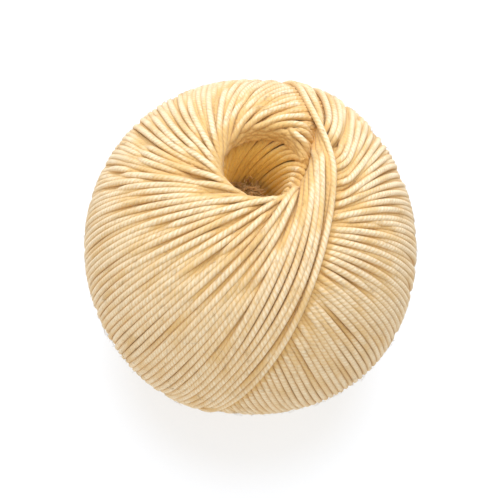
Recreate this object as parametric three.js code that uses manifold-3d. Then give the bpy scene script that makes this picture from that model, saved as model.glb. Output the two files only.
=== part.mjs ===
// A ball of yarn with a centre hole, as it comes off a winder.
//
// The yarn goes round the ball in nearly great circles that all pass the hole at one distance, and each
// turn starts a little further round than the last. A turn is crossed by those laid before and after it:
// on the hole's side of the newest turn only the climbing halves of the turns show, and on the other side
// only the falling halves. So the ball is one body of climbing turns and one of falling turns, each ridged
// by bundles of about four turns and cut at the plane of the newest, with a core that holds the centre
// hole and the last band of turns lying over the seam. A plane cuts the flat spot on which it rests.

import * as THREE from "three";
import { mergeVertices } from "three/addons/utils/BufferGeometryUtils.js";
import Module from "manifold-3d";

// Driving dimensions, in millimetres and degrees. +Z is up, along the hole. Heights are above the
// ball's centre until the finished ball is lifted to stand on z = 0.
const ballRadius = 44; // from the ball's centre to the crown of the newest bundle
const centreHeight = 41.2; // the ball's centre above its flat spot
const layerThickness = 1.3; // what half a turn of the winder adds
const newestAzimuth = 3; // where the newest bundle passes the hole, counter-clockwise from +X
const passAngle = 19.5; // between the axis and a bundle where it passes the hole
const passSwing = 2; // a bundle climbs steeper than it falls, by twice this angle

const bundles = 36; // bundles in a full turn of the winder
const bundleGroove = 1; // how far the groove between bundles lies below their crowns
const bundleUnevenness = 0.3; // the most that a bundle lies above or below its place
const stepsPerHalfTurn = 16;
const plane = { overlap: 1, reach: 4 * ballRadius };

const lastBand = { halfWidth: 4.3, rise: 0.8, crown: 0.9, depth: 5.5, footShare: 0.75, steps: 60 };

// Points across one bundle, from groove to groove.
const bundleProfile = [
  { across: 0, drop: bundleGroove },
  { across: 0.2, drop: 0.3 * bundleGroove },
  { across: 0.5, drop: 0 },
  { across: 0.8, drop: 0.3 * bundleGroove },
];

// Rings that lead the climbing turns over the crest and down into the hole. Each is turned on by
// advance, and lies lower beside older turns by a share of what the layers add.
const throatRings = [
  { radius: 13.0, height: 40.0, advance: 14, share: 0.9, groove: 0.7 },
  { radius: 11.5, height: 37.6, advance: 30, share: 0.6, groove: 0.6 },
  { radius: 10.5, height: 34.4, advance: 48, share: 0.3, groove: 0.5 },
  { radius: 10.2, height: 31.0, advance: 66, share: 0, groove: 0.4 },
  { radius: 13.0, height: 29.0, advance: 66, share: 0, groove: 0 },
  { radius: 13.0, height: -2.0, advance: 66, share: 0, groove: 0 },
];

// The plug that closes the winding below, under the flat spot before it is cut.
const footRing = { radius: 13, height: -ballRadius };

// The falling turns stop short of the hole, inside the core.
const clearRings = [
  { radius: 12.6, height: 37.0, advance: 0, share: 0, groove: 0 },
  { radius: 12.0, height: 33.0, advance: 0, share: 0, groove: 0 },
  { radius: 12.0, height: -2.0, advance: 0, share: 0, groove: 0 },
];

// The core's outline from its foot to its top, then down the hole from a ledge to the floor.
const coreOutline = [
  { radius: 14.0, height: -20.0 },
  { radius: 14.0, height: 20.0 },
  { radius: 14.5, height: 32.5 },
  { radius: 9.6, height: 29.6 },
  { radius: 9.3, height: 26.0 },
  { radius: 9.0, height: 20.5 },
  { radius: 8.4, height: 15.0 },
  { radius: 7.2, height: 9.5 },
  { radius: 4.8, height: 6.4 },
];
const coreFloor = 5.4;
const coreSteps = 40;
const coreRidges = { count: 10, height: 0.4, twist: 0.42, within: 10 };

// Soft swellings of the whole ball, each round a direction from its centre.
const swellings = [
  { azimuth: 67, elevation: 30, rise: 1.5, spread: 26 },
  { azimuth: 247, elevation: -30, rise: 1.5, spread: 30 },
  { azimuth: -35, elevation: -20, rise: 1.6, spread: 28 },
];

const yarnColour = 0xe6cb9e;

const rad = THREE.MathUtils.degToRad;
const wasm = await Module();
wasm.setup();

function direction(azimuth, elevation) {
  const flat = Math.cos(rad(elevation));
  return new THREE.Vector3(
    flat * Math.cos(rad(azimuth)),
    flat * Math.sin(rad(azimuth)),
    Math.sin(rad(elevation)),
  );
}

const swellingCentres = swellings.map((s) => direction(s.azimuth, s.elevation));

function swellingAt(dir) {
  return swellings.reduce((sum, s, i) => {
    const away = dir.angleTo(swellingCentres[i]) / rad(s.spread);
    return sum + s.rise * Math.exp(-away * away);
  }, 0);
}

// The direction to the point at angle t of a turn, in degrees, t = 0 being where it passes the hole.
function turnPoint(azimuth, t) {
  const pass = passAngle + passSwing * Math.sin(rad(t));
  const out = direction(azimuth, 90 - pass).multiplyScalar(Math.cos(rad(t)));
  return out.addScaledVector(direction(azimuth + 90, 0), Math.sin(rad(t))).normalize();
}

// A repeatable number from -1 to 1 for each bundle.
function chance(index) {
  const value = Math.sin((index + 1) * 12.9898) * 43758.5453;
  return 2 * (value - Math.floor(value)) - 1;
}

// The columns of a winding body: one for each point across each bundle, newest bundle first.
function windingColumns() {
  const pitch = 360 / bundles;
  const columns = [];
  for (let bundle = 0; bundle < bundles; bundle++) {
    for (const { across, drop } of bundleProfile) {
      const back = (bundle + across - 0.5) * pitch;
      const age = (back + 360) % 360;
      const lift = bundleUnevenness * chance(bundle) - (layerThickness * age) / 180;
      columns.push({ azimuth: newestAzimuth - back, lift, drop });
    }
  }
  return columns;
}

// Skins a stack of rings of equal size, closed by a point at each end, first ring lowest and
// columns running clockwise.
function stackGeometry(rings, bottom, top) {
  const size = rings[0].length;
  const positions = [bottom, ...rings.flat(), top].flatMap((p) => [p.x, p.y, p.z]);
  const last = 1 + rings.length * size;
  const faces = [];
  for (let i = 0; i < size; i++) {
    const next = (i + 1) % size;
    faces.push(0, 1 + i, 1 + next);
    faces.push(last, last - size + next, last - size + i);
    for (let ring = 0; ring + 1 < rings.length; ring++) {
      const low = 1 + ring * size;
      const high = low + size;
      faces.push(low + i, high + i, low + next);
      faces.push(low + next, high + i, high + next);
    }
  }
  const geometry = new THREE.BufferGeometry();
  geometry.setAttribute("position", new THREE.Float32BufferAttribute(positions, 3));
  return geometry.setIndex(faces);
}

// The body of the climbing turns (t from -180 to 0) or of the falling ones (t from 180 to 0).
function windingGeometry(side, upperRings) {
  const columns = windingColumns();
  const foot = columns.map(({ azimuth }) =>
    direction(azimuth + 180, 0).multiplyScalar(footRing.radius).setZ(footRing.height),
  );
  const rings = [foot];
  for (let step = 0; step <= stepsPerHalfTurn; step++) {
    const t = side * 180 * (1 - step / stepsPerHalfTurn);
    rings.push(
      columns.map(({ azimuth, lift, drop }) => {
        const dir = turnPoint(azimuth, t);
        return dir.multiplyScalar(ballRadius + lift - drop + swellingAt(dir));
      }),
    );
  }
  for (const ring of upperRings) {
    rings.push(
      columns.map(({ azimuth, lift, drop }) => {
        const point = direction(azimuth + ring.advance, 0);
        point.multiplyScalar(ring.radius + ring.groove * drop);
        return point.setZ(ring.height + ring.share * lift);
      }),
    );
  }
  const top = new THREE.Vector3(0, 0, upperRings.at(-1).height);
  return stackGeometry(rings, new THREE.Vector3(0, 0, footRing.height), top);
}

// The core, with the hole's lower wall ridged by the turns that line it.
function coreGeometry() {
  const profile = coreOutline.map(({ radius, height }) => new THREE.Vector2(radius, height));
  profile.unshift(new THREE.Vector2(0, coreOutline[0].height));
  profile.push(new THREE.Vector2(0, coreFloor));
  const geometry = new THREE.LatheGeometry(profile, coreSteps).rotateX(Math.PI / 2);
  const positions = geometry.getAttribute("position");
  const point = new THREE.Vector3();
  for (let i = 0; i < positions.count; i++) {
    point.fromBufferAttribute(positions, i);
    const across = Math.hypot(point.x, point.y);
    if (across > coreRidges.within || point.z < coreFloor + 0.5) continue;
    const azimuth = Math.atan2(point.y, point.x);
    const wave = Math.cos(coreRidges.count * azimuth + coreRidges.twist * point.z);
    const scale = 1 - (coreRidges.height * wave) / across;
    positions.setXYZ(i, point.x * scale, point.y * scale, point.z);
  }
  return geometry;
}

// The last band of turns as a closed hoop, its section crowned above and narrower below.
function lastBandGeometry() {
  const { halfWidth, rise, crown, depth, footShare, steps } = lastBand;
  const section = [-1, -0.5, 0, 0.5, 1].map((share) => ({
    aside: share * halfWidth,
    drop: crown * share * share,
  }));
  section.push({ aside: footShare * halfWidth, drop: depth });
  section.push({ aside: -footShare * halfWidth, drop: depth });
  const positions = [];
  const faces = [];
  for (let step = 0; step < steps; step++) {
    const here = turnPoint(newestAzimuth, (step / steps) * 360);
    const ahead = turnPoint(newestAzimuth, (step / steps) * 360 + 0.5);
    const toHole = here.clone().cross(ahead).normalize();
    section.forEach(({ aside, drop }, corner) => {
      const dir = here.clone().addScaledVector(toHole, Math.tan(aside / ballRadius)).normalize();
      positions.push(...dir.multiplyScalar(ballRadius + rise - drop + swellingAt(dir)));
      const beside = (corner + 1) % section.length;
      const row = step * section.length;
      const nextRow = ((step + 1) % steps) * section.length;
      faces.push(row + corner, nextRow + corner, row + beside);
      faces.push(row + beside, nextRow + corner, nextRow + beside);
    });
  }
  const geometry = new THREE.BufferGeometry();
  geometry.setAttribute("position", new THREE.Float32BufferAttribute(positions, 3));
  return geometry.setIndex(faces);
}

// A large block whose one face lies across the given direction, that far from the centre.
function blockBeyond(dir, distance) {
  const block = new THREE.BoxGeometry(plane.reach, plane.reach, plane.reach);
  block.translate(0, 0, distance + plane.reach / 2);
  return block.applyQuaternion(
    new THREE.Quaternion().setFromUnitVectors(new THREE.Vector3(0, 0, 1), dir),
  );
}

function toSolid(geometry) {
  const bare = geometry.clone();
  bare.deleteAttribute("normal");
  bare.deleteAttribute("uv");
  const merged = mergeVertices(bare, 1e-4);
  return new wasm.Manifold(
    new wasm.Mesh({
      numProp: 3,
      vertProperties: merged.getAttribute("position").array,
      triVerts: new Uint32Array(merged.index.array),
    }),
  );
}

function fromSolid(solid) {
  const { vertProperties, triVerts } = solid.getMesh();
  const geometry = new THREE.BufferGeometry();
  geometry.setAttribute("position", new THREE.BufferAttribute(vertProperties, 3));
  return geometry.setIndex(new THREE.BufferAttribute(triVerts, 1));
}

function ballGeometry() {
  const holeSide = turnPoint(newestAzimuth, 0).cross(turnPoint(newestAzimuth, 90)).normalize();
  const farSide = holeSide.clone().negate();
  const climbing = toSolid(windingGeometry(-1, throatRings));
  const falling = toSolid(windingGeometry(1, clearRings));
  const ball = climbing
    .subtract(toSolid(blockBeyond(farSide, plane.overlap)))
    .add(falling.subtract(toSolid(blockBeyond(holeSide, plane.overlap))))
    .add(toSolid(coreGeometry()))
    .add(toSolid(lastBandGeometry()))
    .subtract(toSolid(blockBeyond(direction(0, -90), centreHeight)));
  return fromSolid(ball).translate(0, 0, centreHeight);
}

const yarn = new THREE.MeshStandardMaterial({ color: yarnColour, roughness: 0.9, metalness: 0 });
const yarnBall = new THREE.Mesh(ballGeometry(), yarn);
yarnBall.name = "yarn_ball";

const group = new THREE.Group();
group.add(yarnBall);

export default group;
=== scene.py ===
import math

import bpy
import numpy as np
from mathutils import Matrix, Vector


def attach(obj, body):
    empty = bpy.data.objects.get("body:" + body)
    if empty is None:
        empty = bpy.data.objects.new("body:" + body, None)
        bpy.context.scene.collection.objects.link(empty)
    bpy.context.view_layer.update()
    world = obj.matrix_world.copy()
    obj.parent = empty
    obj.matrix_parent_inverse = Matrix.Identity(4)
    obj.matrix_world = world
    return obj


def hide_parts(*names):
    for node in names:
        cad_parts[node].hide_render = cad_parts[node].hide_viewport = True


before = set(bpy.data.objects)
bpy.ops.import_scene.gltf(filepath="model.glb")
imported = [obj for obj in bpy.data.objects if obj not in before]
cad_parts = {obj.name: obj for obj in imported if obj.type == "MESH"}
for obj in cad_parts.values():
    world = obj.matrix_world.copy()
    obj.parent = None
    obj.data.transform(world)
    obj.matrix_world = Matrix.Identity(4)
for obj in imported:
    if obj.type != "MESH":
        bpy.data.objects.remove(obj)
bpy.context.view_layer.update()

bpy.ops.object.select_all(action="DESELECT")
scene = bpy.context.scene
mm = 0.001
rng = np.random.default_rng(41)

# The ball and its yarn: millimetres and degrees, heights above the ball's own centre.
ball = {
    "radius": 44.2,  # centre to the crown of the newest turns
    "centreHeight": 41.2,  # centre above the floor
    "swellings": [  # azimuth, elevation, rise, spread
        (67, 30, 1.5, 26),
        (247, -30, 1.5, 30),
        (-36, -21, 2.2, 34),
        (135, 24, 0.8, 30),
    ],
    "rim": (18.0, 5.0, 4.0),  # angle from the axis where it rounds into the hole, width and drop
}

yarn = {
    "radius": 0.94,  # of the drawn strand
    "thinnerAtHole": 0.1,  # share by which a strand is drawn thinner where the turns crowd
    "thinnerWithin": 0.55,  # radians from the axis
    "packedWidth": 1.0,  # at its narrowest between two others
    "packedHeight": 1.35,  # of the strand where it is pressed on its neighbours
    "flatness": 0.9,  # height of the section over its width
    "sides": 8,
    "plies": 3,
    "plyPitch": 4.2,  # length of one full twist
}

surfaceRadius = 44.0  # turns angles into lengths over the ball's surface
beddingRadius = 43.0  # the same at the height of a strand's middle


def unit(vectors):
    return vectors / np.linalg.norm(vectors, axis=-1, keepdims=True)


def direction(azimuth, elevation):
    a, e = np.radians(azimuth), np.radians(elevation)
    return np.stack([np.cos(e) * np.cos(a), np.cos(e) * np.sin(a), np.sin(e) + 0 * a], -1)


def bell(values, middle, width):
    return np.exp(-(((values - middle) / width) ** 2))


def easeIn(share):
    return share**2 * (3 - 2 * share)


def selectOnly(piece):
    bpy.ops.object.select_all(action="DESELECT")
    piece.select_set(True)
    bpy.context.view_layer.objects.active = piece


stage = {
    "elevation": 57.5,  # how steeply the camera looks down, degrees
    "roll": 10.0,
    "distance": 0.396,
    "lens": 107.0,
    "aimUp": 0.008,  # share of the frame that the ball's centre stands above the middle
    "floorSize": 3.0,
    "floorColour": (0.30, 0.315, 0.335, 1),
    "floorGlow": 0.7,
    "lights": [  # name, place, width, power, tint
        ("skyPanel", (-0.1, 0.4, 1.1), 1.2, 16.2, (0.92, 1.0, 1.14)),
        ("frontPanel", (-0.3, -1.0, 0.9), 1.2, 2.0, (1.0, 0.90, 0.68)),
    ],
    "lightsAim": (0, 0, 0.04),
    "surroundings": 0.65,  # strength of the even light from all round
}


def addCamera():
    e = math.radians(stage["elevation"])
    back = Vector((0, -math.cos(e), math.sin(e)))
    middle = Vector((0, 0, ball["centreHeight"] * mm))
    bpy.ops.object.camera_add(location=middle + back * stage["distance"])
    camera = bpy.context.object
    camera.name = "camera"
    turn = (-back).to_track_quat("-Z", "Y").to_matrix()
    camera.rotation_euler = (turn @ Matrix.Rotation(math.radians(stage["roll"]), 3, "Z")).to_euler()
    camera.data.lens = stage["lens"]
    camera.data.sensor_width = 36
    camera.data.shift_y = -stage["aimUp"]
    camera.data.clip_start = 0.01
    scene.camera = camera


def addLight(name, location, size, power, tint):
    bpy.ops.object.light_add(type="AREA", location=location)
    light = bpy.context.object
    light.name = name
    light.data.shape = "DISK"
    light.data.size = size
    light.data.energy = power
    light.data.color = tint
    aim = Vector(stage["lightsAim"]) - Vector(location)
    light.rotation_euler = aim.to_track_quat("-Z", "Y").to_euler()


def addFloor():
    bpy.ops.mesh.primitive_plane_add(size=stage["floorSize"], location=(0, 0, 0))
    floor = bpy.context.object
    floor.name = "floor"
    paper = bpy.data.materials.new("whitePaper")
    paper.use_nodes = True
    shader = paper.node_tree.nodes["Principled BSDF"]
    shader.inputs["Base Color"].default_value = stage["floorColour"]
    shader.inputs["Emission Color"].default_value = (1, 1, 1, 1)
    shader.inputs["Emission Strength"].default_value = stage["floorGlow"]
    shader.inputs["Roughness"].default_value = 0.9
    shader.inputs["Specular IOR Level"].default_value = 0.1
    floor.data.materials.append(paper)


def addSurroundings():
    world = bpy.data.worlds.new("studio")
    world.use_nodes = True
    background = world.node_tree.nodes["Background"]
    background.inputs["Color"].default_value = (1, 1, 1, 1)
    background.inputs["Strength"].default_value = stage["surroundings"]
    scene.world = world
    scene.view_settings.view_transform = "Standard"


addCamera()
addFloor()
for values in stage["lights"]:
    addLight(*values)
addSurroundings()
print("camera, floor and light are in place")

winding = {
    "turns": 160,  # in the last full turn of the winder
    "perPiece": 40,
    "rows": 200,  # points along a turn
    "rowsNearHole": 0.35,  # how much closer they stand near the hole
    "newestAzimuth": 6.0,  # where the newest turn passes the hole
    # How far from the axis the turns run, in degrees, by how many degrees the winder has turned since:
    # where they pass the hole and along their climbing halves.
    "nearHole": [(0, 16.5), (16, 16), (30, 15), (60, 15.5), (90, 16.3), (120, 16.8), (150, 16.8),
                 (180, 16), (240, 15), (300, 15), (360, 16)],
    "climbing": [(0, 21), (16, 20.5), (30, 19.3), (50, 17.6), (65, 16.2), (96, 16.2), (106, 19),
                 (116, 23), (145, 23), (160, 20), (172, 17.5), (360, 17.5)],
    "dipSpread": 19.0,  # degrees either side of the hole over which a turn nears it
    "falling": 20.8,  # the same along the falling halves
    "fallingRise": 4.0,  # further out where they have just passed the hole
    "fallingRiseAt": (12, 30),
    "fallingRiseWhole": 35,  # degrees of the winder until the rise is whole
    "passing": (-3, 20),  # where along a turn the falling half starts, and how long it takes
    "passingNewest": (-8, 38),
    "newestAge": 8,  # how old the newest turns count as, degrees of the winder
    "farEnd": (170, 60),  # where under the ball a falling half ends, and how long it takes
    "farAngle": (20, 110, 60),  # how far from the axis the newest turns run there, from where, how long
    "leanAt": (26, 20),  # where along a turn its lean is greatest, and how far it reaches
    "azimuthScatter": 0.04,  # how far single turns stray, in degrees
    "passScatter": 0.1,
    "passDrift": 0.22,  # how far groups of turns stray
    "wander": 0.11,  # sideways waves along a turn, mm
    "waveNumbers": (2, 3, 5),
    "layerStep": 0.6,  # how far the crown falls over half a turn of the winder, mm
    "buried": (1.4, 8.2, 14, 9),  # deepest that a turn goes, and by how much more near the hole
    "bridge": 3,  # rows that a taut strand spans without rising between them
    "evenRows": 1.6,  # rows over which a turn's height evens out
    "spacingRows": 4.0,
    "sinkLevels": (0, 3, 2, 3, 1, 3, 2, 3),  # how many of the next values reach each turn of eight
    "sinkAt": (0.32, 0.62, 1.2),  # spacings at which a turn finds no room at the crown, mm
    "sinkBy": (1.6, 1.0, 0.9),  # how much deeper it goes there, mm
    "sinkFade": 0.4,
    "sinkScatter": 0.12,
    "sinkVaries": (0.8, 1.3),
    "hollows": 2.0,  # how often along a turn it lies a little deeper
    "hollowDepth": (0.2, 0.8),
    "hollowLength": (6, 16),  # degrees of the turn
    "supports": 0.35,  # a turn this far below the crown or more holds nothing up, mm
}

# The newest turns, newest first: azimuth and angle from the axis where the turn passes the hole, azimuth
# of its two halves, angle from the axis of its climbing and of its falling half, lean to the hole once
# past it (mm).
newestTurns = [
    (6.0, 23.0, 6.0, 23.5, 15.0, 2.4),
    (13.0, 20.4, 3.7, 21.5, 17.0, 0.0),
    (10.0, 17.8, 1.4, 20.0, 18.5, 0.0),
    (9.0, 15.9, -0.9, 19.5, 19.0, 0.0),
    (3.0, 15.2, -3.2, 20.0, 19.5, 0.0),
    (-3.0, 15.2, -5.5, 20.5, 20.0, 0.0),
    (-8.0, 15.4, -7.8, 20.5, 20.0, 0.0),
    (-11.0, 15.6, -10.1, 20.5, 20.0, 0.0),
]

# A map of the ball's surface in rows of cells about a quarter of a millimetre wide.
cellSize = 0.25 / surfaceRadius
mapRows = int(np.pi / cellSize)
rowMiddles = (np.arange(mapRows) + 0.5) * np.pi / mapRows
mapColumns = np.maximum(4, np.round(2 * np.pi * np.sin(rowMiddles) / cellSize).astype(int))
mapStart = np.concatenate([[0], np.cumsum(mapColumns)])


def cellOf(dirs):
    polar = np.arccos(np.clip(dirs[..., 2], -1, 1))
    row = np.minimum((polar / np.pi * mapRows).astype(int), mapRows - 1)
    around = np.arctan2(dirs[..., 1], dirs[..., 0]) / (2 * np.pi) % 1
    return mapStart[row] + np.minimum((around * mapColumns[row]).astype(int), mapColumns[row] - 1)


# Places along a turn as angles: 0 where it passes the hole, below 0 climbing, above 0 falling.
def rowAngles(rows):
    u = np.linspace(-np.pi, np.pi, rows, endpoint=False)
    return u - winding["rowsNearHole"] * np.sin(u)


# A turn is nearly a great circle, and passAngle is how far from the axis it runs.
def turnPath(azimuth, passAngle, t):
    p, a = np.radians(passAngle), np.radians(azimuth) + 0 * t
    out = np.stack([np.sin(p) * np.cos(a), np.sin(p) * np.sin(a), np.cos(p)], -1)
    side = np.stack([-np.sin(a), np.cos(a), 0 * a], -1)
    return unit(out * np.cos(t)[:, None] + side * np.sin(t)[:, None])


def fallingAngle(t, age):
    rise = winding["fallingRise"] * min(1, age / winding["fallingRiseWhole"])
    return winding["falling"] + rise * bell(np.degrees(t), *winding["fallingRiseAt"])


def justPast(t, start, length):
    end, endLength = winding["farEnd"]
    degrees = np.degrees(t)
    return easeIn(np.clip((degrees - start) / length, 0, 1) * np.clip((end - degrees) / endLength, 0, 1))


def generalTurn(age, azimuth, stray, t):
    near = np.interp(age, *np.array(winding["nearHole"]).T)
    far = np.interp(age, *np.array(winding["climbing"]).T)
    climbing = far + (near - far) * bell(np.degrees(t), 0, winding["dipSpread"])
    p = climbing + (fallingAngle(t, age) - climbing) * justPast(t, *winding["passing"])
    return turnPath(azimuth, p + stray, t)


def newestTurn(values, t):
    near, passAngle, ends, climbing, falling, lean = values
    spreading = np.sin(np.clip(t, -np.pi / 2, np.pi / 2)) ** 2
    endAngle, start, length = winding["farAngle"]
    far = np.where(t < 0, climbing, falling)
    far = far + (endAngle - far) * np.clip((np.abs(np.degrees(t)) - start) / length, 0, 1)
    p = passAngle + (far - passAngle) * spreading**0.5
    if lean == 0:
        p = p + (fallingAngle(t, winding["newestAge"]) - p) * justPast(t, *winding["passingNewest"])
    return turnPath(near + (ends - near) * spreading, p, t)


def sideways(path):
    ahead = np.roll(path, -1, 0) - np.roll(path, 1, 0)
    return unit(np.cross(path, ahead))


def smoothCyclic(values, sigma):
    reach = int(3 * sigma) + 1
    kernel = np.exp(-0.5 * (np.arange(-reach, reach + 1) / sigma) ** 2)
    padded = np.concatenate([values[-reach:], values, values[:reach]])
    return np.convolve(padded, kernel / kernel.sum(), "valid")


def swellingAt(dirs):
    rise = np.zeros(dirs.shape[:-1])
    for azimuth, elevation, height, spread in ball["swellings"]:
        away = np.degrees(np.arccos(np.clip(dirs @ direction(azimuth, elevation), -1, 1)))
        rise += height * bell(away, 0, spread)
    return rise


# Where a strand's crown lies on the finished ball: it rolls over the rim into the hole.
def crownHeight(dirs, age):
    start, width, drop = ball["rim"]
    polar = np.degrees(np.arccos(np.clip(np.abs(dirs[..., 2]), -1, 1)))
    rim = np.clip((start - polar) / width, 0, 1)
    lift = -winding["layerStep"] * age / 180
    return ball["radius"] + swellingAt(dirs) + lift - drop * rim**2


def mostBuried(polar):
    least, more, middle, width = winding["buried"]
    return least + more * bell(polar, middle, width)


# How far apart two neighbouring turns run, all along the first.
def spacing(path, other):
    nearest = (path @ other.T).argmax(1)
    apart = np.abs(((other[nearest] - path) * sideways(path)).sum(1)) * surfaceRadius
    return smoothCyclic(apart, winding["spacingRows"])


# How far below the crown a turn runs where the turns crowd round the hole: each 8th turn stays up.
def sunk(k, apart):
    level = winding["sinkLevels"][k % 8]
    depth = np.zeros_like(apart)
    for at, by in list(zip(winding["sinkAt"], winding["sinkBy"]))[:level]:
        at *= 1 + winding["sinkScatter"] * rng.uniform(-1, 1)
        share = np.clip((at - apart) / (winding["sinkFade"] * at) + 0.5, 0, 1)
        depth += by * rng.uniform(*winding["sinkVaries"]) * easeIn(share)
    return depth


def hollows(t):
    depth = np.zeros_like(t)
    for i in range(rng.poisson(winding["hollows"])):
        middle = rng.uniform(-np.pi, np.pi)
        length = math.radians(rng.uniform(*winding["hollowLength"]))
        away = (t - middle + np.pi) % (2 * np.pi) - np.pi
        depth += rng.uniform(*winding["hollowDepth"]) * bell(away, 0, length)
    return depth


def rolling(values, reach, pick):
    return pick([np.roll(values, shift) for shift in range(-reach, reach + 1)], axis=0)


# A chance value for each turn that changes slowly from turn to turn.
def slowly(count, sigma):
    return smoothCyclic(rng.normal(size=count), sigma)


# Points all over a strand's width, with how far across and how high its centre is at each.
def spread(path, height, radius):
    steps, columns = 7, 13
    share = np.linspace(0, 1, steps, endpoint=False)
    following = np.roll(path, -1, 0)
    points = path[:, None] * (1 - share)[:, None] + following[:, None] * share[:, None]
    points = unit(points).reshape(-1, 3)
    centre = (height[:, None] * (1 - share) + np.roll(height, -1)[:, None] * share).reshape(-1, 1)
    across = np.linspace(-0.97, 0.97, columns) * radius
    dirs = unit(points[:, None] + sideways(points)[:, None] * (across / beddingRadius)[None, :, None])
    return dirs, across[None, :], centre, steps


# Lays the turns from the newest inwards. The newest lies on the crown, and each older one goes under the
# newer ones that cross it. The roof is the lowest that any of those reaches over each cell of the map.
def layWinding():
    count, untouched = winding["turns"], 99.0
    roof = np.full(mapStart[-1], untouched)
    t = rowAngles(winding["rows"])
    wide, high = yarn["packedWidth"] / 2, yarn["packedHeight"] / 2
    across = np.linspace(-0.96, 0.96, 9)
    arch = high * np.sqrt(1 - across**2)
    drift = slowly(count, 3.0) * 2.5 * winding["passDrift"]
    waves = np.stack([slowly(count, 2.0) for m in range(6)], -1) * 2.2 * winding["wander"]
    turns = []
    for k in range(count):
        age = k * 360 / count
        azimuth = winding["newestAzimuth"] - age + rng.normal() * winding["azimuthScatter"]
        stray = drift[k] + rng.normal() * winding["passScatter"]
        newest = k < len(newestTurns)
        path = newestTurn(newestTurns[k], t) if newest else generalTurn(age, azimuth, stray, t)
        lean = newestTurns[k][-1] if newest else 0
        swings = zip(winding["waveNumbers"], waves[k, :3], waves[k, 3:])
        wave = sum(a * np.sin(m * t) + b * np.cos(m * t) for m, a, b in swings)
        wave += lean * bell(np.degrees(t), *winding["leanAt"])
        path = unit(path + sideways(path) * (wave / surfaceRadius)[:, None])
        polar = np.degrees(np.arccos(np.abs(path[:, 2])))
        down = 0 * polar if newest else sunk(k, spacing(path, turns[-1][0])) + hollows(t)
        aside = (across * wide / beddingRadius)[None, :, None]
        above = roof[cellOf(unit(path[:, None] + sideways(path)[:, None] * aside))]
        crown = crownHeight(path, age) - yarn["radius"] * yarn["flatness"]
        rest = np.minimum((above - arch).min(-1), crown - down)
        height = np.maximum(rest, crown - mostBuried(polar))
        height = rolling(rolling(height, winding["bridge"], np.min), winding["bridge"] - 1, np.max)
        height = smoothCyclic(height, winding["evenRows"])
        turns.append((path, height))
        points, shifts, centre, steps = spread(path, height, wide)
        bottoms = centre - high * np.sqrt(1 - (shifts / wide) ** 2)
        raised = np.repeat(down < winding["supports"], steps)[:, None]
        np.minimum.at(roof, cellOf(points).ravel(), np.where(raised, bottoms, untouched).ravel())
    return turns


def topSurface(turns, radius):
    top = np.zeros(mapStart[-1])
    for path, height in turns:
        points, shifts, centre, steps = spread(path, height, radius)
        tops = centre + np.sqrt(radius**2 - shifts**2)
        np.maximum.at(top, cellOf(points).ravel(), tops.ravel())
    return top


turns = layWinding()
top = topSurface(turns, yarn["radius"])
print("laid", len(turns), "turns")

# The yarn's colours, bumps and sheen, with the colours of its painted shade.
finishAndShade = {
    "pale": (0.95, 0.80, 0.57, 1),
    # golden: the yarn's own darker tone in streaks and patches, also its painted shade in grooves and
    # between plies
    "golden": (0.72, 0.44, 0.14, 1),
    # painted shade for yarn lying deep under the other turns
    "deepShadeGolden": (0.66, 0.37, 0.10, 1),
    # painted golden shade down the hole
    "holeShadeGolden": (1.0, 0.69, 0.19, 1),
    # painted deep shade for the loose fibres at the bottom of the hole
    "heart": (0.86, 0.52, 0.2, 1),
    "plyHeight": 0.0001,
    "fibreHeight": 0.00014,
    "relief": 0.9,
    "grooveShadeStrength": 0.8,  # painted shade between two strands: how golden it is there
    # painted shade in the creases between the plies
    "plyCreaseShade": 0.55,
    "streaks": 0.72,
    "patches": 0.75,
    # how much the painted hole shade covers the yarn's colour
    "holeShadeShare": 0.85,
    "streakScale": 2.2,
    "streakLength": 1.6,  # the higher, the shorter
    "streakRound": 1.5,
    "patchScale": 0.28,  # the higher, the shorter
    "roughness": 0.78,
    "sheen": 0.35,
    "sheenTint": (1.0, 0.93, 0.78, 1),
    "crownReach": 1.4,  # how far round a point the crown over it is looked for, mm
    "holeTop": 36.0,  # height at which the painted shade inside the hole starts
    "holeFade": 5.0,
    "holeWidth": 15.0,
}


class Nodes:
    def __init__(self, tree):
        self.tree = tree

    def add(self, kind, **settings):
        node = self.tree.nodes.new("ShaderNode" + kind)
        for key, value in settings.items():
            setattr(node, key, value)
        return node

    def link(self, source, target):
        self.tree.links.new(source, target)

    def feed(self, socket, value):
        if isinstance(value, bpy.types.NodeSocket):
            self.link(value, socket)
        else:
            socket.default_value = value

    def math(self, operation, *values):
        node = self.add("Math", operation=operation)
        for socket, value in zip(node.inputs, values):
            self.feed(socket, value)
        return node.outputs[0]

    def attribute(self, name):
        return self.add("Attribute", attribute_name=name).outputs["Fac"]

    def softStep(self, value, low, high):
        ramp = self.add("MapRange", interpolation_type="SMOOTHSTEP")
        ramp.inputs["From Min"].default_value = low
        ramp.inputs["From Max"].default_value = high
        self.link(value, ramp.inputs["Value"])
        return ramp.outputs[0]

    def mixColours(self, factor, first, second):
        mix = self.add("Mix", data_type="RGBA")
        for socket, value in ((mix.inputs[0], factor), (mix.inputs[6], first), (mix.inputs[7], second)):
            self.feed(socket, value)
        return mix.outputs[2]


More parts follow.
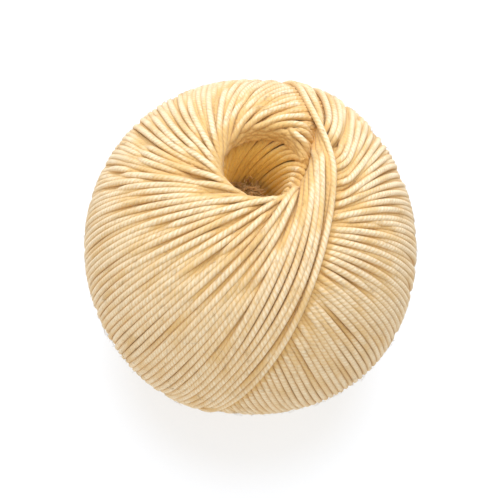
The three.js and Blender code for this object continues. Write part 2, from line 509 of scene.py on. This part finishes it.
# The twist of the plies, the fibres along them and golden patches, from the strand's own map: one unit
# along it is a full twist, and one across it is once round.
def yarnFibresGroup():
    tree = bpy.data.node_groups.new("yarnFibres", "ShaderNodeTree")
    for name in ("Twist", "Fibres", "Patches", "Height"):
        tree.interface.new_socket(name, in_out="OUTPUT", socket_type="NodeSocketFloat")
    nodes = Nodes(tree)
    parts = nodes.add("SeparateXYZ")
    nodes.link(nodes.add("UVMap", uv_map="strand").outputs[0], parts.inputs[0])
    along, around = parts.outputs[0], parts.outputs[1]
    tone = nodes.attribute("strandTone")
    helix = nodes.math("ADD", along, around)
    lobes = nodes.math("COSINE", nodes.math("MULTIPLY", helix, math.pi * yarn["plies"]))
    ply = nodes.math("ABSOLUTE", lobes)
    turn = nodes.math("MULTIPLY", helix, 2 * math.pi)
    spots = nodes.add("CombineXYZ")
    length = nodes.math("MULTIPLY", along, finishAndShade["streakLength"])
    nodes.link(nodes.math("MULTIPLY_ADD", tone, 57.0, length), spots.inputs[0])
    for operation, socket in (("COSINE", spots.inputs[1]), ("SINE", spots.inputs[2])):
        nodes.link(nodes.math("MULTIPLY", nodes.math(operation, turn), finishAndShade["streakRound"]), socket)
    streaks = nodes.add("TexNoise")
    streaks.inputs["Scale"].default_value = finishAndShade["streakScale"]
    streaks.inputs["Detail"].default_value = 5
    streaks.inputs["Roughness"].default_value = 0.72
    nodes.link(spots.outputs[0], streaks.inputs["Vector"])
    patches = nodes.add("TexNoise", noise_dimensions="1D")
    patches.inputs["Scale"].default_value = finishAndShade["patchScale"]
    patches.inputs["Detail"].default_value = 3
    nodes.link(nodes.math("MULTIPLY_ADD", tone, 913.0, along), patches.inputs["W"])
    fibreShare = finishAndShade["fibreHeight"] / finishAndShade["plyHeight"]
    raised = nodes.math("MULTIPLY_ADD", streaks.outputs["Fac"], fibreShare, ply)
    output = tree.nodes.new("NodeGroupOutput")
    nodes.link(ply, output.inputs["Twist"])
    nodes.link(streaks.outputs["Fac"], output.inputs["Fibres"])
    nodes.link(patches.outputs["Fac"], output.inputs["Patches"])
    nodes.link(raised, output.inputs["Height"])


# deep and inside take the painted shade colours for yarn lying deep and for yarn down the hole
def yarnMaterial(name, pale, golden, deep, inside):
    material = bpy.data.materials.new(name)
    material.use_nodes = True
    nodes = Nodes(material.node_tree)
    shader = material.node_tree.nodes["Principled BSDF"]
    fibres = nodes.add("Group")
    fibres.node_tree = bpy.data.node_groups["yarnFibres"]
    depth = nodes.attribute("depth")
    # painted shade: golden in the grooves between strands, by how deep a point lies under the crowns round
    # it
    grooveShadeMask = nodes.math("MULTIPLY", nodes.softStep(depth, 0.15, 0.9), finishAndShade["grooveShadeStrength"])
    colour = nodes.mixColours(grooveShadeMask, pale, golden)
    # painted shade: deeper golden where a point lies far under the crowns
    colour = nodes.mixColours(nodes.softStep(depth, 1.2, 4.5), colour, deep)
    # painted shade in the creases between the plies, where the twist lobes dip
    between = nodes.math("SUBTRACT", 1.0, fibres.outputs["Twist"])
    streak = nodes.softStep(fibres.outputs["Fibres"], 0.40, 0.66)
    share = nodes.math("ADD", nodes.math("MULTIPLY", nodes.attribute("strandTone"), 0.5), 0.5)
    patch = nodes.math("MULTIPLY", nodes.softStep(fibres.outputs["Patches"], 0.42, 0.72), share)
    # golden mixed in: painted shade between the plies, and the yarn's own streaks and patches
    for mask, strength in ((between, "plyCreaseShade"), (streak, "streaks"), (patch, "patches")):
        colour = nodes.mixColours(nodes.math("MULTIPLY", mask, finishAndShade[strength]), colour, golden)
    # painted shade: golden down the hole, by how far below the rim a point lies
    hole = nodes.softStep(nodes.attribute("hole"), 0.0, 1.0)
    colour = nodes.mixColours(nodes.math("MULTIPLY", hole, finishAndShade["holeShadeShare"]), colour, inside)
    nodes.link(colour, shader.inputs["Base Color"])
    shader.inputs["Roughness"].default_value = finishAndShade["roughness"]
    shader.inputs["Specular IOR Level"].default_value = 0.25
    shader.inputs["Sheen Weight"].default_value = finishAndShade["sheen"]
    shader.inputs["Sheen Roughness"].default_value = 0.5
    shader.inputs["Sheen Tint"].default_value = finishAndShade["sheenTint"]
    bump = nodes.add("Bump")
    bump.inputs["Strength"].default_value = finishAndShade["relief"]
    bump.inputs["Distance"].default_value = finishAndShade["plyHeight"]
    nodes.link(fibres.outputs["Height"], bump.inputs["Height"])
    nodes.link(bump.outputs[0], shader.inputs["Normal"])
    return material


yarnFibresGroup()
yarnOuter = yarnMaterial(
    "yarnOuter", finishAndShade["pale"], finishAndShade["golden"], finishAndShade["deepShadeGolden"], finishAndShade["holeShadeGolden"]
)
# The fibres at the bottom of the hole are golden and brown instead of pale: painted shade of the deep
# hole.
yarnHeart = yarnMaterial("yarnHeart", finishAndShade["golden"], finishAndShade["heart"], finishAndShade["heart"], finishAndShade["heart"])
print("the yarn's finish is made")


def setValues(mesh, name, values):
    attribute = mesh.attributes.new(name, "FLOAT", "POINT")
    attribute.data.foreach_set("value", values.astype(np.float32))


def placePiece(piece, material):
    piece.data.materials.append(material)
    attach(piece, "root")
    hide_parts("yarn_ball")


def sectionCurve(name, radius, flatness, sides):
    curve = bpy.data.curves.new(name, "CURVE")
    curve.dimensions = "2D"
    spline = curve.splines.new("POLY")
    spline.points.add(sides - 1)
    for i in range(sides):
        a = -2 * math.pi * i / sides
        spline.points[i].co = (radius * flatness * math.cos(a), radius * math.sin(a), 0, 1)
    spline.use_cyclic_u = True
    section = bpy.data.objects.new(name, curve)
    scene.collection.objects.link(section)
    return section


# Runs a section along each path, and gives the tubes a lengthwise map, a bake map, the values for their
# painted shade and their tones.
def tubePiece(name, material, paths, radius, sides, closed=False, radii=None):
    section = sectionCurve(name + "Section", radius * mm, yarn["flatness"], sides)
    curve = bpy.data.curves.new(name, "CURVE")
    curve.dimensions = "3D"
    curve.bevel_mode = "OBJECT"
    curve.bevel_object = section
    for i, path in enumerate(paths):
        spline = curve.splines.new("POLY")
        spline.points.add(len(path) - 1)
        spline.points.foreach_set("co", np.column_stack([path * mm, np.ones(len(path))]).ravel())
        if radii is not None:
            spline.points.foreach_set("radius", radii[i].astype(np.float32))
        spline.use_cyclic_u = closed
    piece = bpy.data.objects.new(name, curve)
    scene.collection.objects.link(piece)
    selectOnly(piece)
    bpy.ops.object.convert(target="MESH")
    if not closed:
        bpy.ops.object.mode_set(mode="EDIT")
        bpy.ops.mesh.select_all(action="SELECT")
        bpy.ops.mesh.fill_holes(sides=0)
        bpy.ops.object.mode_set(mode="OBJECT")
    bpy.ops.object.shade_smooth()
    bpy.data.objects.remove(section)
    mapTubes(piece.data, paths, sides, closed)
    shadeAndToneTubes(piece.data, paths, sides)
    placePiece(piece, material)
    return piece


# A vertex's number says which tube, ring and spot round it is. A face over a seam counts on past it.
def mapTubes(mesh, paths, sides, closed):
    rows = len(paths[0])
    count = np.zeros(len(mesh.polygons), int)
    mesh.polygons.foreach_get("loop_total", count)
    corner = np.zeros(len(mesh.loops), int)
    mesh.loops.foreach_get("vertex_index", corner)
    tube, ring, spot = corner // (rows * sides), corner // sides % rows, corner % sides
    face = np.repeat(np.arange(len(count)), count)
    for values, size in ((ring, rows), (spot, sides)):
        high, low = np.zeros(len(count), int), np.full(len(count), size)
        np.maximum.at(high, face, values)
        np.minimum.at(low, face, values)
        wraps = ((high - low) > 1) & (count == 4)
        values[wraps[face] & (values == 0)] = size
    steps = [np.linalg.norm(np.diff(np.vstack([p, p[:1]]), axis=0), axis=1) for p in paths]
    twists = np.array([np.concatenate([[0], np.cumsum(s)]) for s in steps]) / yarn["plyPitch"]
    if closed:  # a whole number of twists, so that the ends meet
        twists *= (np.round(twists[:, -1]) / twists[:, -1])[:, None]
    strandMap = mesh.uv_layers.active or mesh.uv_layers.new()
    strandMap.name = "strand"
    strandMap.data.foreach_set("uv", np.column_stack([twists[tube, ring], spot / sides]).ravel())
    bake = mesh.uv_layers.new(name="OFBake")
    share = (tube + 0.05 + 0.9 * spot / sides) / len(paths)
    bake.data.foreach_set("uv", np.column_stack([0.002 + 0.996 * ring / rows, share]).ravel())


# How deep each point lies under the crowns round it and how far down the hole, which set the painted shade
# in grooves, recesses and down the hole, and a random tone for each strand.
def shadeAndToneTubes(mesh, paths, sides):
    points = np.zeros(len(mesh.vertices) * 3)
    mesh.vertices.foreach_get("co", points)
    points = points.reshape(-1, 3) / mm - (0, 0, ball["centreHeight"])
    distance = np.linalg.norm(points, axis=1)
    dirs = points / distance[:, None]
    east = unit(np.cross(dirs, (0.01, 0.02, 1)))
    north = np.cross(dirs, east)
    crown = top[cellOf(dirs)]
    for a in np.radians(np.arange(0, 360, 45)):
        away = (east * math.cos(a) + north * math.sin(a)) * (finishAndShade["crownReach"] / surfaceRadius)
        crown = np.maximum(crown, top[cellOf(unit(dirs + away))])
    # how far down the hole a point lies, for the painted hole shade
    holeShadeAmount = np.clip((finishAndShade["holeTop"] - points[:, 2]) / finishAndShade["holeFade"], 0, 1)
    holeShadeAmount *= (np.hypot(points[:, 0], points[:, 1]) < finishAndShade["holeWidth"]) & (points[:, 2] > 0)
    tube = np.minimum(np.arange(len(points)) // (len(paths[0]) * sides), len(paths))
    tone = np.random.default_rng(7).uniform(0, 1, len(paths) + 1)
    setValues(mesh, "depth", np.clip(crown - distance, 0, 5))
    setValues(mesh, "hole", holeShadeAmount)
    setValues(mesh, "strandTone", tone[tube])


# The turns can't sink into the floor: near it they flatten on it.
def onFloor(points):
    softness, low = 0.5, yarn["radius"] * 0.95
    z = points[:, 2] + ball["centreHeight"]
    z = low + softness * np.logaddexp(0, (z - low) / softness)
    return np.column_stack([points[:, :2], z])


def strandThickness(path):
    fromAxis = np.arccos(path[:, 2])
    return 1 - yarn["thinnerAtHole"] * np.exp(-((fromAxis / yarn["thinnerWithin"]) ** 4))


for first in range(0, len(turns), winding["perPiece"]):
    group = turns[first : first + winding["perPiece"]]
    paths = [onFloor(path * height[:, None]) for path, height in group]
    thickness = [strandThickness(path) for path, height in group]
    letter = "ABCD"[first // winding["perPiece"]]
    tubePiece("turns" + letter, yarnOuter, paths, yarn["radius"], yarn["sides"], True, thickness)
print("the turns are made")

# The innermost coils, which show down the hole.
lining = {
    "strands": 35,
    "radius": 0.84,
    "profile": [  # distance from the hole's middle, height
        (12.4, 36.0),
        (10.5, 35.2),
        (9.1, 32.6),
        (8.4, 28.0),
        (8.1, 21.0),
        (7.8, 15.0),
        (6.9, 9.5),
        (4.6, 6.0),
        (1.8, 4.6),
    ],
    "middle": -1.7,  # how far the hole's middle stands from the ball's, along x
    "advance": 115,  # how far a strand turns on its way down, degrees
    "azimuthScatter": 0.5,
    "advanceScatter": 0.006,
    "inward": 0.35,
    "heightScatter": 0.3,
    "rows": 40,
}


def liningPaths():
    r, z = np.array(lining["profile"]).T
    length = np.concatenate([[0], np.cumsum(np.hypot(np.diff(r), np.diff(z)))])
    s = np.linspace(0, length[-1], lining["rows"])
    paths = []
    for k in range(lining["strands"]):
        azimuth = 360 * k / lining["strands"] + rng.normal() * lining["azimuthScatter"]
        turnOn = lining["advance"] * (1 + lining["advanceScatter"] * rng.normal())
        inward = lining["inward"] * rng.uniform()
        inward = inward * np.sin(s / length[-1] * np.pi * rng.uniform(1, 3) + rng.uniform(0, 6))
        radius = np.interp(s, length, r) - inward
        height = np.interp(s, length, z) + lining["heightScatter"] * rng.normal()
        around = np.radians(azimuth + turnOn * (s / length[-1]) ** 0.8)
        x = radius * np.cos(around) + lining["middle"]
        paths.append(np.column_stack([x, radius * np.sin(around), height + ball["centreHeight"]]))
    return paths


tubePiece("holeLining", yarnOuter, liningPaths(), lining["radius"], yarn["sides"])
print("the hole's lining is made")

# Turns of the layer below, seen in the dimple under the ball.
foot = {
    "strands": 15,
    "radius": 0.92,
    "apart": 1.55,
    "reach": 14.5,
    "below": 38.0,  # how far under the centre they are spaced out
    "height": 38.4,
    "rounding": (2.5, 15, 6),  # how far they drop back at their ends, from what angle, over what angle
    "azimuth": 35.0,
    "rows": 30,
}


def footPaths():
    a = math.radians(foot["azimuth"])
    s = np.linspace(-1, 1, foot["rows"]) * foot["reach"]
    drop, start, width = foot["rounding"]
    paths = []
    for j in range(foot["strands"]):
        offset = (j - (foot["strands"] - 1) / 2) * foot["apart"]
        offset = offset + 0.15 * rng.normal() + 0.2 * np.sin(s / 6 + j)
        dirs = unit(np.column_stack([s, offset, 0 * s - foot["below"]]))
        polar = np.degrees(np.arccos(-dirs[:, 2]))
        height = foot["height"] - 0.3 * rng.uniform()
        height = height - drop * np.clip((polar - start) / width, 0, None) ** 2
        x, y, z = (dirs * height[:, None]).T
        turned = np.column_stack([x * math.cos(a) - y * math.sin(a), x * math.sin(a) + y * math.cos(a), z])
        paths.append(turned + (0, 0, ball["centreHeight"]))
    return paths


tubePiece("footTurns", yarnOuter, footPaths(), foot["radius"], yarn["sides"])
print("the turns under the ball are made")

# Loose curly fibres at the bottom of the hole.
heart = {
    "fibres": 90,
    "radius": 0.13,
    "rows": 26,
    "middle": (-2.5, 3.4, 18.5),
    "spread": (5.0, 2.4, 2.4),
    "reach": (1, 0.5, 0.45),  # how much of their way goes across, to the back and up
    "curl": 1.3,
    "length": 9.0,
    "within": 7.2,  # distance from the hole's middle
    "lowest": 6.5,
}


def heartPaths():
    s = np.linspace(0, 1, heart["rows"])
    middle = np.array([lining["middle"], 0])
    paths = []
    for i in range(heart["fibres"]):
        start = np.array(heart["middle"]) + np.array(heart["spread"]) * rng.normal(size=3) * 0.5
        way = unit(rng.normal(size=3) * heart["reach"]) * heart["length"] * rng.uniform(0.5, 1.0)
        curls = [rng.normal() * np.sin(s * rng.uniform(6, 16) + rng.uniform(0, 6)) for j in range(3)]
        path = start + np.outer(s - 0.5, way) + heart["curl"] * 0.5 * np.column_stack(curls)
        away = np.linalg.norm(path[:, :2] - middle, axis=1)
        kept = np.minimum(1, heart["within"] / away)[:, None]
        path[:, :2] = middle + (path[:, :2] - middle) * kept
        path[:, 2] = np.maximum(path[:, 2], heart["lowest"]) + ball["centreHeight"]
        paths.append(path)
    return paths


tubePiece("heartFibres", yarnHeart, heartPaths(), heart["radius"], 4)
print("the fibres down the hole are made")

# Short stray hairs of the yarn.
fuzz = {
    "fibres": 2600,
    "radius": 0.035,
    "rows": 6,
    "length": (1.2, 3.4),
    "lift": (0.1, 0.7),
    "swerve": 0.5,
    "deepest": 1.1,  # none on strands that lie deeper under the crown than this
    "lowest": -0.8,  # none under the ball: the least upward share of the way out
}


def fuzzPaths():
    paths = []
    s = np.linspace(0, 1, fuzz["rows"])[:, None]
    while len(paths) < fuzz["fibres"]:
        path, height = turns[rng.integers(len(turns))]
        row = rng.integers(len(path))
        out = path[row]
        if top[cellOf(out)] - height[row] > fuzz["deepest"] or out[2] < fuzz["lowest"]:
            continue
        side = sideways(path)[row]
        along = np.cross(out, side) * rng.choice((-1, 1))
        start = out * (height[row] + 0.7 * yarn["radius"]) + side * rng.uniform(-0.5, 0.5)
        length, lift = rng.uniform(*fuzz["length"]), rng.uniform(*fuzz["lift"])
        swerve = rng.normal() * fuzz["swerve"]
        paths.append(start + along * s * length + side * s**1.5 * length * swerve + out * (s**1.4 * lift))
    return [path + (0, 0, ball["centreHeight"]) for path in paths]


tubePiece("looseFibres", yarnOuter, fuzzPaths(), fuzz["radius"], 3)
print("the loose fibres are made")

# A plain body inside the turns, so that nothing shows through between them.
core = {
    "outside": 40.4,
    "angles": (158, 21),  # from the axis, at its foot and at its mouth
    "foot": -34.0,
    "hole": [(12.4, 29.5), (10.9, 28.0), (10.4, 21.0), (9.8, 15.0), (8.6, 8.6), (6.0, 5.0), (0.0, 3.6)],
    "rows": 40,
    "steps": 64,
    # the core's depth of 3 paints it with the groove shade and part of the deep shade
    "values": (("depth", 3.0), ("hole", 0.0), ("strandTone", 0.5)),
}


def addCore():
    polar = np.radians(np.linspace(*core["angles"], core["rows"]))
    away = np.minimum(np.degrees(polar), 180 - np.degrees(polar))
    radius = core["outside"] + winding["buried"][0] - mostBuried(away)
    side = list(zip(radius * np.sin(polar), radius * np.cos(polar)))
    outline = [(0.0, core["foot"])] + side + core["hole"]
    points = [(r * mm, 0, (z + ball["centreHeight"]) * mm) for r, z in outline]
    mesh = bpy.data.meshes.new("core")
    mesh.from_pydata(points, [(i, i + 1) for i in range(len(points) - 1)], [])
    piece = bpy.data.objects.new("core", mesh)
    scene.collection.objects.link(piece)
    selectOnly(piece)
    bpy.ops.object.mode_set(mode="EDIT")
    bpy.ops.mesh.select_all(action="SELECT")
    bpy.ops.mesh.spin(steps=core["steps"], angle=2 * math.pi, center=(0, 0, 0), axis=(0, 0, 1))
    bpy.ops.mesh.select_all(action="SELECT")
    bpy.ops.mesh.remove_doubles(threshold=1e-6)
    bpy.ops.mesh.normals_make_consistent(inside=False)
    bpy.ops.object.mode_set(mode="OBJECT")
    bpy.ops.object.shade_smooth()
    for name, value in core["values"]:
        setValues(mesh, name, np.full(len(mesh.vertices), value))
    placePiece(piece, yarnOuter)


addCore()
print("the core is made")
